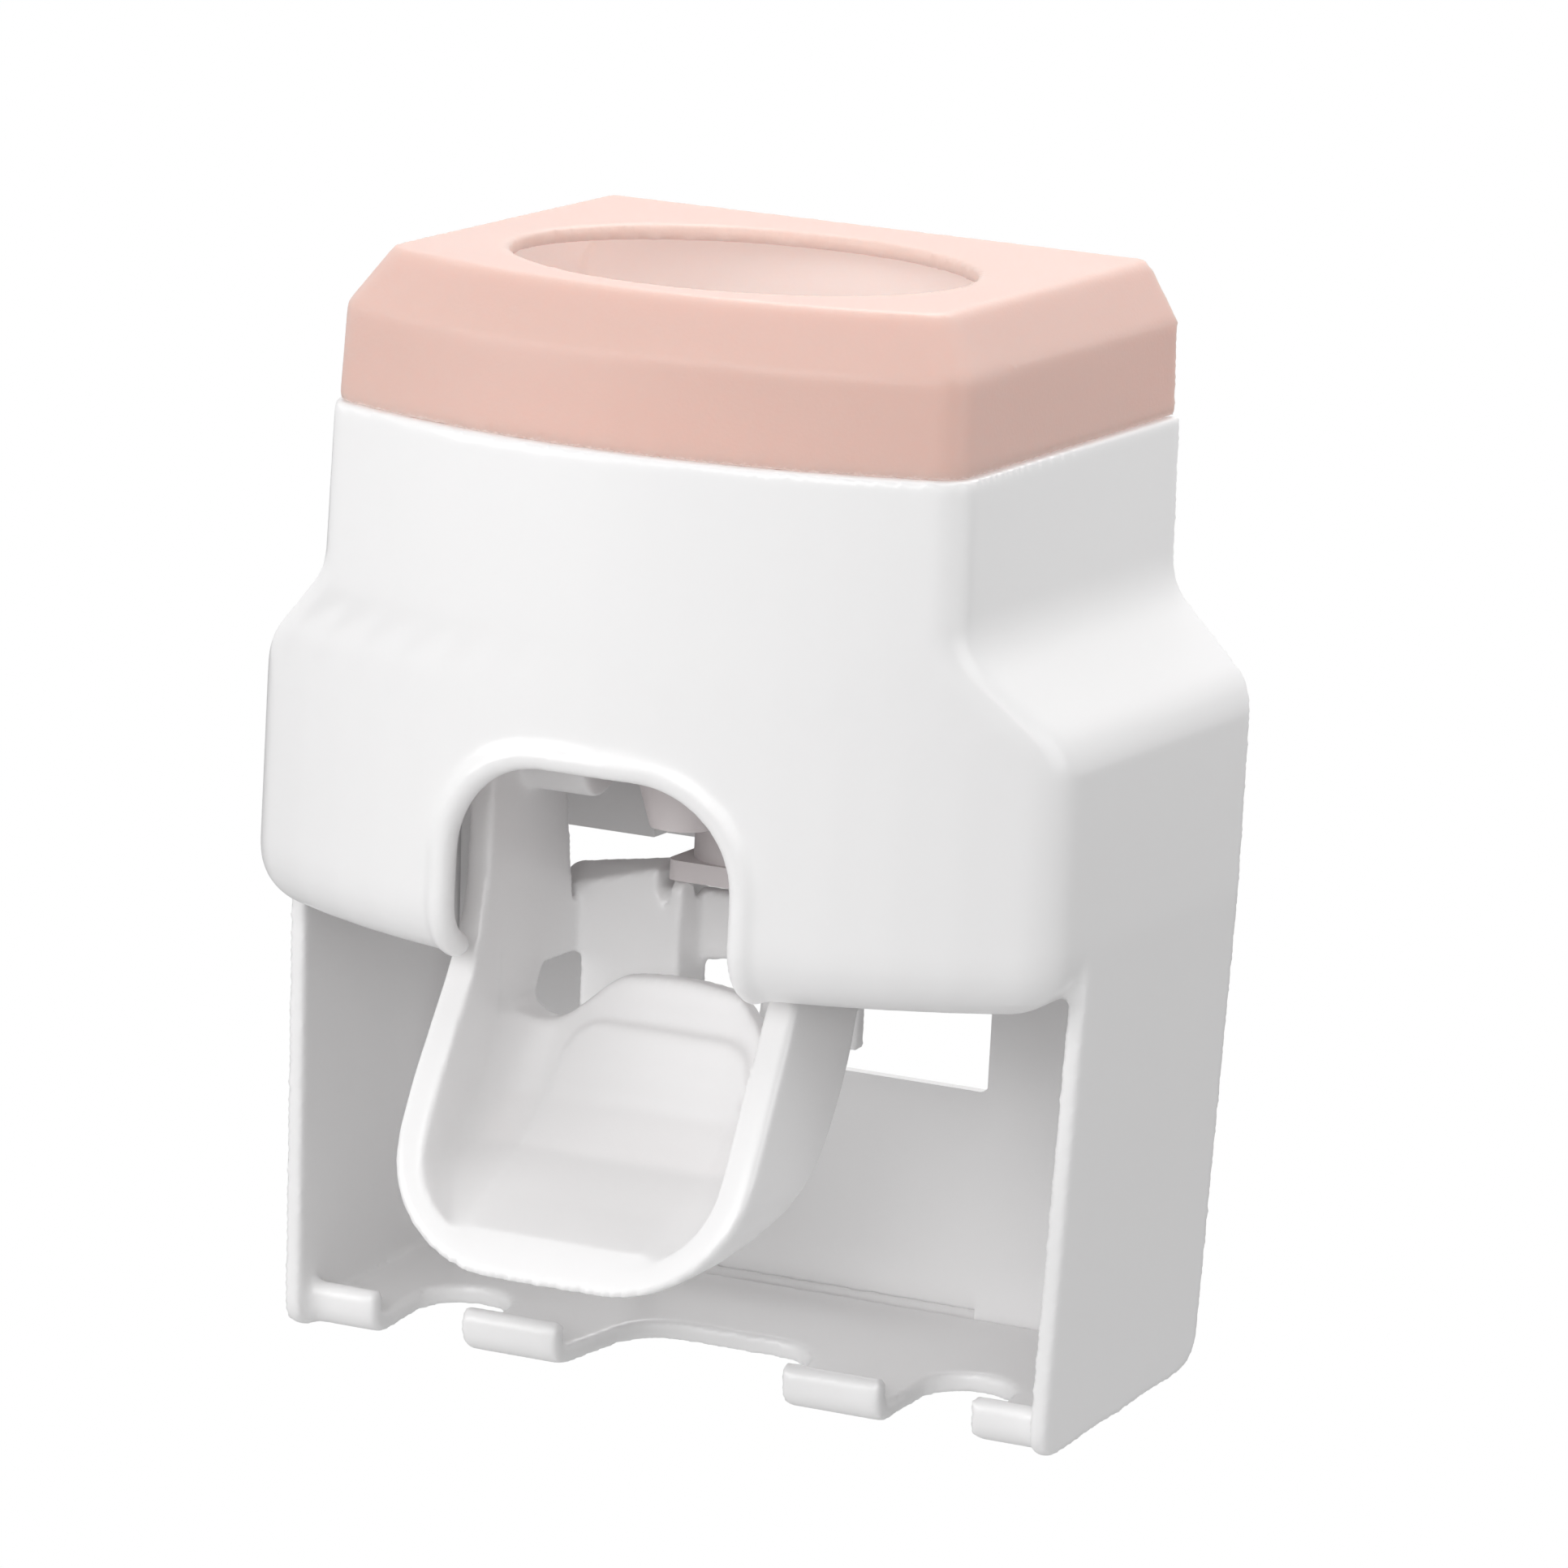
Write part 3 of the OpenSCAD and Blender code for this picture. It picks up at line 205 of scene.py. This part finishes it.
def pink_lid():
    """Thin pink plastic that spreads light in its walls; its inside is painted paler and glows a
    little, as painted light in place of light that passes the walls.
    """
    material = moulded_plastic("pink lid", PINK_LID, PINK_LID_SHADE, gloss=0.44,
                               gloss_drift=0.08, skin_scale=1900, skin_depth=0.22, coat=0.08)
    nodes, links = material.node_tree.nodes, material.node_tree.links
    shader = nodes["Principled BSDF"]
    shader.inputs["Subsurface Weight"].default_value = LID_SCATTER
    shader.inputs["Subsurface Radius"].default_value = LID_SCATTER_RADIUS
    shader.inputs["Subsurface Scale"].default_value = LID_SCATTER_SCALE
    painted_light_share = nodes.new("ShaderNodeAttribute")
    painted_light_share.attribute_name = PAINTED_LIGHT_MASK
    # Painted light: the inside takes a paler colour
    painted_paler_inside = nodes.new("ShaderNodeMix")
    painted_paler_inside.data_type = "RGBA"
    links.new(painted_light_share.outputs["Fac"], painted_paler_inside.inputs["Factor"])
    links.new(shader.inputs["Base Color"].links[0].from_socket, painted_paler_inside.inputs["A"])
    painted_paler_inside.inputs["B"].default_value = linear(LID_PAINTED_INSIDE)
    links.new(painted_paler_inside.outputs["Result"], shader.inputs["Base Color"])
    # Painted light: the inside glows faintly, though it is no lamp
    glow = nodes.new("ShaderNodeMix")
    glow.data_type = "RGBA"
    links.new(painted_light_share.outputs["Fac"], glow.inputs["Factor"])
    glow.inputs["A"].default_value = (0, 0, 0, 1)
    glow.inputs["B"].default_value = linear(LID_PAINTED_GLOW)
    links.new(glow.outputs["Result"], shader.inputs["Emission Color"])
    shader.inputs["Emission Strength"].default_value = 1.0
    return material


def inner_plastic():
    """Plainer, matter plastic of the carrier and pump, its grey also darkened as painted shade for
    their place deep in the housing.
    """
    return moulded_plastic("inner plastic", INNER_GREY_PAINTED_SHADE, INNER_GREY_PAINTED_SHADE_DRIFT, gloss=0.42,
                           gloss_drift=0.08, skin_scale=1200, skin_depth=0.15)


def soft_silicone():
    """Seals and duckbill valves."""
    return moulded_plastic("silicone", CLEAR_SILICONE, CLEAR_SILICONE_SHADE, gloss=0.5,
                           gloss_drift=0.1, skin_scale=700, skin_depth=0.2)


def spring_steel():
    """Spring wire, screws and pins."""
    material = moulded_plastic("steel", SPRING_STEEL, SPRING_STEEL_SHADE, gloss=0.26,
                               gloss_drift=0.12, skin_scale=2600, skin_depth=0.3)
    material.node_tree.nodes["Principled BSDF"].inputs["Metallic"].default_value = 1.0
    return material


MATERIALS = {"white_shell": white_shell(), "pink_lid": pink_lid(),
             "inner_plastic": inner_plastic(), "silicone": soft_silicone(),
             "steel": spring_steel()}


def dress_nodes():
    """Every CAD node takes the finish of its material slot."""
    for part in frame["record"]["subparts"]:
        mesh = frame["nodes"][part["node"]].data
        mesh.materials.clear()
        mesh.materials.append(MATERIALS[part["material_slot"]])


def mark_painted_light(piece, rim):
    """Marks where the lid's painted light goes: the points that look inwards or down, in full below
    the rim and up to half on it.
    """
    low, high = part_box("lid")
    middle = Vector((low[0] + high[0], low[1] + high[1])) / 2
    mask = piece.data.attributes.new(PAINTED_LIGHT_MASK, "FLOAT", "POINT")
    for vertex, value in zip(piece.data.vertices, mask.data):
        inward = (middle - vertex.co.xy).normalized().dot(vertex.normal.xy)
        inward = inward - min(0, vertex.normal.z)
        depth = (high[2] - vertex.co.z) / rim
        facing = min(1, max(0, INWARD_GAIN * inward))
        value.value = facing * min(1, max(0, depth) * 0.5 + (depth > 1) * 0.5)


# Forms of the lever that its solid leaves open, in millimetres: corners in plan with the height
# of the top there, and the height of the block's foot
RIGHT_RAMP = ((9.6, -37, 67.3), (25.4, -37, 62.6), (25.4, -30, 65.2), (9.6, -30, 67.9))
LEFT_RAMP = tuple((-x, y, z) for x, y, z in RIGHT_RAMP)
CAM_WEB = ((-6.6, -31, 64.2), (6.6, -31, 64.2), (6.6, -28.5, 64.2), (-6.6, -28.5, 64.2))
RAMP_FOOT = 58
WEB_FOOT = 55
LEVER_FORMS = ((LEFT_RAMP, RAMP_FOOT), (RIGHT_RAMP, RAMP_FOOT), (CAM_WEB, WEB_FOOT))


def add_forms(mesh, forms):
    """Adds blocks with sloping tops to a mesh, before its skin is made even."""
    shape = bmesh.new()
    shape.from_mesh(mesh)
    for top, foot in forms:
        upper = [shape.verts.new(Vector(corner) / 1000) for corner in top]
        lower = [shape.verts.new(Vector((x, y, foot)) / 1000) for x, y, z in top]
        block = [shape.faces.new(upper), shape.faces.new(lower[::-1])]
        for here in range(4):
            after = (here + 1) % 4
            block.append(shape.faces.new((upper[after], upper[here], lower[here], lower[after])))
        bmesh.ops.recalc_face_normals(shape, faces=block)
    shape.to_mesh(mesh)
    shape.free()


# The voxel grid stands askew to the walls, so that it leaves fewer steps along them
ASKEW = Euler((0.62, 0.47, 0.31)).to_matrix().to_4x4()
SMOOTHING = 0.5
# Voxel size in metres, and passes of smoothing
SHELL_VOXEL, SHELL_PASSES = 0.0006, 8
LEVER_VOXEL, LEVER_PASSES = 0.0005, 9


def softened(node, name, body, slot, voxel, passes, forms=()):
    """A moulding made from a CAD node, with the small radii that a mould leaves on every edge."""
    piece = bpy.data.objects.new(name, frame["nodes"][node].data.copy())
    add_forms(piece.data, forms)
    piece.data.transform(ASKEW)
    bpy.context.scene.collection.objects.link(piece)
    remesh = piece.modifiers.new("even skin", "REMESH")
    remesh.mode = "VOXEL"
    remesh.voxel_size = voxel
    remesh.use_smooth_shade = True
    smooth = piece.modifiers.new("mould radii", "SMOOTH")
    smooth.factor = SMOOTHING
    smooth.iterations = passes
    bpy.context.view_layer.update()
    evaluated = piece.evaluated_get(bpy.context.evaluated_depsgraph_get())
    finished = bpy.data.meshes.new_from_object(evaluated)
    piece.modifiers.clear()
    finished.transform(ASKEW.inverted())
    piece.data = finished
    finished.materials.clear()
    finished.materials.append(MATERIALS[slot])
    for polygon in finished.polygons:
        polygon.use_smooth = True
    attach(piece, body)
    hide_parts(node)
    return piece


def pressed_spring():
    """The return spring, as a copy of the CAD coil riding on the housing."""
    coil = bpy.data.objects.new("spring_coil", frame["nodes"]["return_spring"].data.copy())
    bpy.context.scene.collection.objects.link(coil)
    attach(coil, "housing")
    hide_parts("return_spring")
    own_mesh(coil)


def softbox(name, place, target, size, power):
    """A white rectangular lamp at a place, turned to its target."""
    data = bpy.data.lights.new(name, "AREA")
    data.shape = "RECTANGLE"
    data.size, data.size_y = size
    data.energy = power
    lamp = bpy.data.objects.new(name, data)
    lamp.location = place
    lamp.rotation_euler = (Vector(target) - Vector(place)).to_track_quat("-Z", "Y").to_euler()
    bpy.context.scene.collection.objects.link(lamp)


OBJECT_MIDDLE = Vector((0, -0.04, 0.075))
# Softboxes as name, bearing from the front (to the right) and height in degrees, distance,
# width and height, and watts
SOFTBOXES = (
    ("front left softbox", -40, 8, 1.25, (0.8, 0.5), 4.4),
    ("front softbox", 0, 25, 1.25, (0.9, 0.4), 3.3),
    ("low front fill", 20, 14, 1.25, (0.9, 0.4), 3.1),
    ("high front softbox", 0, 50, 1.10, (0.9, 0.7), 0.8),
    ("top softbox", 0, 84, 0.90, (0.9, 0.7), 2.9),
    ("left side fill", -85, 20, 1.20, (0.9, 0.8), 1.1),
    ("right side fill", 100, 15, 1.20, (0.8, 0.8), 3.6),
    ("back softbox", 180, 55, 1.00, (0.9, 0.6), 6.0))
AMBIENT = 0.14


def studio_light():
    """Softboxes all round the object, each turned to its middle."""
    for name, bearing, height, distance, size, power in SOFTBOXES:
        turn, lift = math.radians(bearing), math.radians(height)
        away = Vector((math.sin(turn) * math.cos(lift), -math.cos(turn) * math.cos(lift),
                       math.sin(lift)))
        softbox(name, OBJECT_MIDDLE + distance * away, OBJECT_MIDDLE, size, power)


def white_world():
    """White behind the object for the camera and for reflections, a gentler white as light."""
    world = bpy.data.worlds.new("studio")
    bpy.context.scene.world = world
    world.use_nodes = True
    nodes, links = world.node_tree.nodes, world.node_tree.links
    nodes.clear()
    path = nodes.new("ShaderNodeLightPath")
    seen = nodes.new("ShaderNodeMath")
    seen.operation = "MAXIMUM"
    through = nodes.new("ShaderNodeMath")
    through.operation = "MAXIMUM"
    links.new(path.outputs["Is Camera Ray"], seen.inputs[0])
    links.new(path.outputs["Is Glossy Ray"], seen.inputs[1])
    links.new(seen.outputs[0], through.inputs[0])
    links.new(path.outputs["Is Transmission Ray"], through.inputs[1])
    light = nodes.new("ShaderNodeBackground")
    light.inputs["Color"].default_value = (1, 1, 1, 1)
    light.inputs["Strength"].default_value = AMBIENT
    backdrop = nodes.new("ShaderNodeBackground")
    backdrop.inputs["Color"].default_value = (1, 1, 1, 1)
    backdrop.inputs["Strength"].default_value = 1.0
    mix = nodes.new("ShaderNodeMixShader")
    links.new(through.outputs[0], mix.inputs["Fac"])
    links.new(light.outputs[0], mix.inputs[1])
    links.new(backdrop.outputs[0], mix.inputs[2])
    surface = nodes.new("ShaderNodeOutputWorld")
    links.new(mix.outputs[0], surface.inputs["Surface"])


FLOOR_HEIGHT = -0.30
FLOOR_SIZE = 4.0
# The camera sees the floor's shading and the object's shadow inside the first radius, and pure
# white beyond the second
SHADOW_REACH = (0.30, 0.80)


def pale_floor():
    """A plain floor below the wall-hung part, with its shadow, that fades to white."""
    material = bpy.data.materials.new("pale floor")
    material.use_nodes = True
    nodes, links = material.node_tree.nodes, material.node_tree.links
    bounce = nodes["Principled BSDF"]
    bounce.inputs["Base Color"].default_value = linear(FLOOR_BOUNCE)
    bounce.inputs["Roughness"].default_value = 0.9
    shaded = nodes.new("ShaderNodeBsdfDiffuse")
    shaded.inputs["Color"].default_value = linear(FLOOR_WHITE)
    glow = nodes.new("ShaderNodeEmission")
    glow.inputs["Color"].default_value = (1, 1, 1, 1)
    glow.inputs["Strength"].default_value = 1.0
    place = nodes.new("ShaderNodeTexCoord")
    away = nodes.new("ShaderNodeVectorMath")
    away.operation = "LENGTH"
    links.new(place.outputs["Object"], away.inputs[0])
    fade = nodes.new("ShaderNodeMapRange")
    fade.interpolation_type = "SMOOTHSTEP"
    fade.inputs["From Min"].default_value, fade.inputs["From Max"].default_value = SHADOW_REACH
    links.new(away.outputs["Value"], fade.inputs["Value"])
    seen = nodes.new("ShaderNodeMixShader")
    links.new(fade.outputs["Result"], seen.inputs["Fac"])
    links.new(shaded.outputs[0], seen.inputs[1])
    links.new(glow.outputs[0], seen.inputs[2])
    path = nodes.new("ShaderNodeLightPath")
    mix = nodes.new("ShaderNodeMixShader")
    links.new(path.outputs["Is Camera Ray"], mix.inputs["Fac"])
    links.new(bounce.outputs[0], mix.inputs[1])
    links.new(seen.outputs[0], mix.inputs[2])
    links.new(mix.outputs[0], nodes["Material Output"].inputs["Surface"])

    half = FLOOR_SIZE / 2
    mesh = bpy.data.meshes.new("floor")
    mesh.from_pydata([(-half, -half, FLOOR_HEIGHT), (half, -half, FLOOR_HEIGHT),
                      (half, half, FLOOR_HEIGHT), (-half, half, FLOOR_HEIGHT)], [], [(0, 1, 2, 3)])
    mesh.materials.append(material)
    floor = bpy.data.objects.new("floor", mesh)
    bpy.context.scene.collection.objects.link(floor)


def photograph_camera():
    """The photograph's own viewpoint, tilt and framing."""
    right = Vector((math.cos(AZIMUTH), math.sin(AZIMUTH), 0))
    back = Vector((math.sin(AZIMUTH) * math.cos(ELEVATION),
                   -math.cos(AZIMUTH) * math.cos(ELEVATION), math.sin(ELEVATION)))
    up = back.cross(right)
    tilted_right = right * math.cos(ROLL) + up * math.sin(ROLL)
    tilted_up = up * math.cos(ROLL) - right * math.sin(ROLL)
    place = LOOK_AT + back * DISTANCE
    # The middle of the image lies a little beside the point looked at
    aside = tilted_right * (AIM_RIGHT / FOCAL_PIXELS)
    ahead = -back - aside + tilted_up * (AIM_DOWN / FOCAL_PIXELS)
    camera_back = -ahead.normalized()
    camera_right = tilted_up.cross(camera_back).normalized()
    camera_up = camera_back.cross(camera_right)
    data = bpy.data.cameras.new("photograph camera")
    data.sensor_width = SENSOR_MM
    data.lens = FOCAL_PIXELS * SENSOR_MM / IMAGE_SIZE
    data.clip_start = NEAREST_SEEN
    data.clip_end = FARTHEST_SEEN
    camera = bpy.data.objects.new("photograph camera", data)
    turn = Matrix((camera_right, camera_up, camera_back)).transposed().to_4x4()
    camera.matrix_world = Matrix.Translation(place) @ turn
    bpy.context.scene.collection.objects.link(camera)
    bpy.context.scene.camera = camera


photograph_camera()
bpy.context.scene.view_settings.view_transform = "Standard"
dress_nodes()
softened("front_housing", "housing_moulding", "housing", "white_shell",
         SHELL_VOXEL, SHELL_PASSES)
mark_painted_light(softened("lid", "lid_moulding", "lid", "pink_lid",
                         SHELL_VOXEL, SHELL_PASSES), LID_RIM)
softened("push_lever", "lever_moulding", "lever", "white_shell",
         LEVER_VOXEL, LEVER_PASSES, LEVER_FORMS)
pressed_spring()
white_world()
studio_light()
pale_floor()
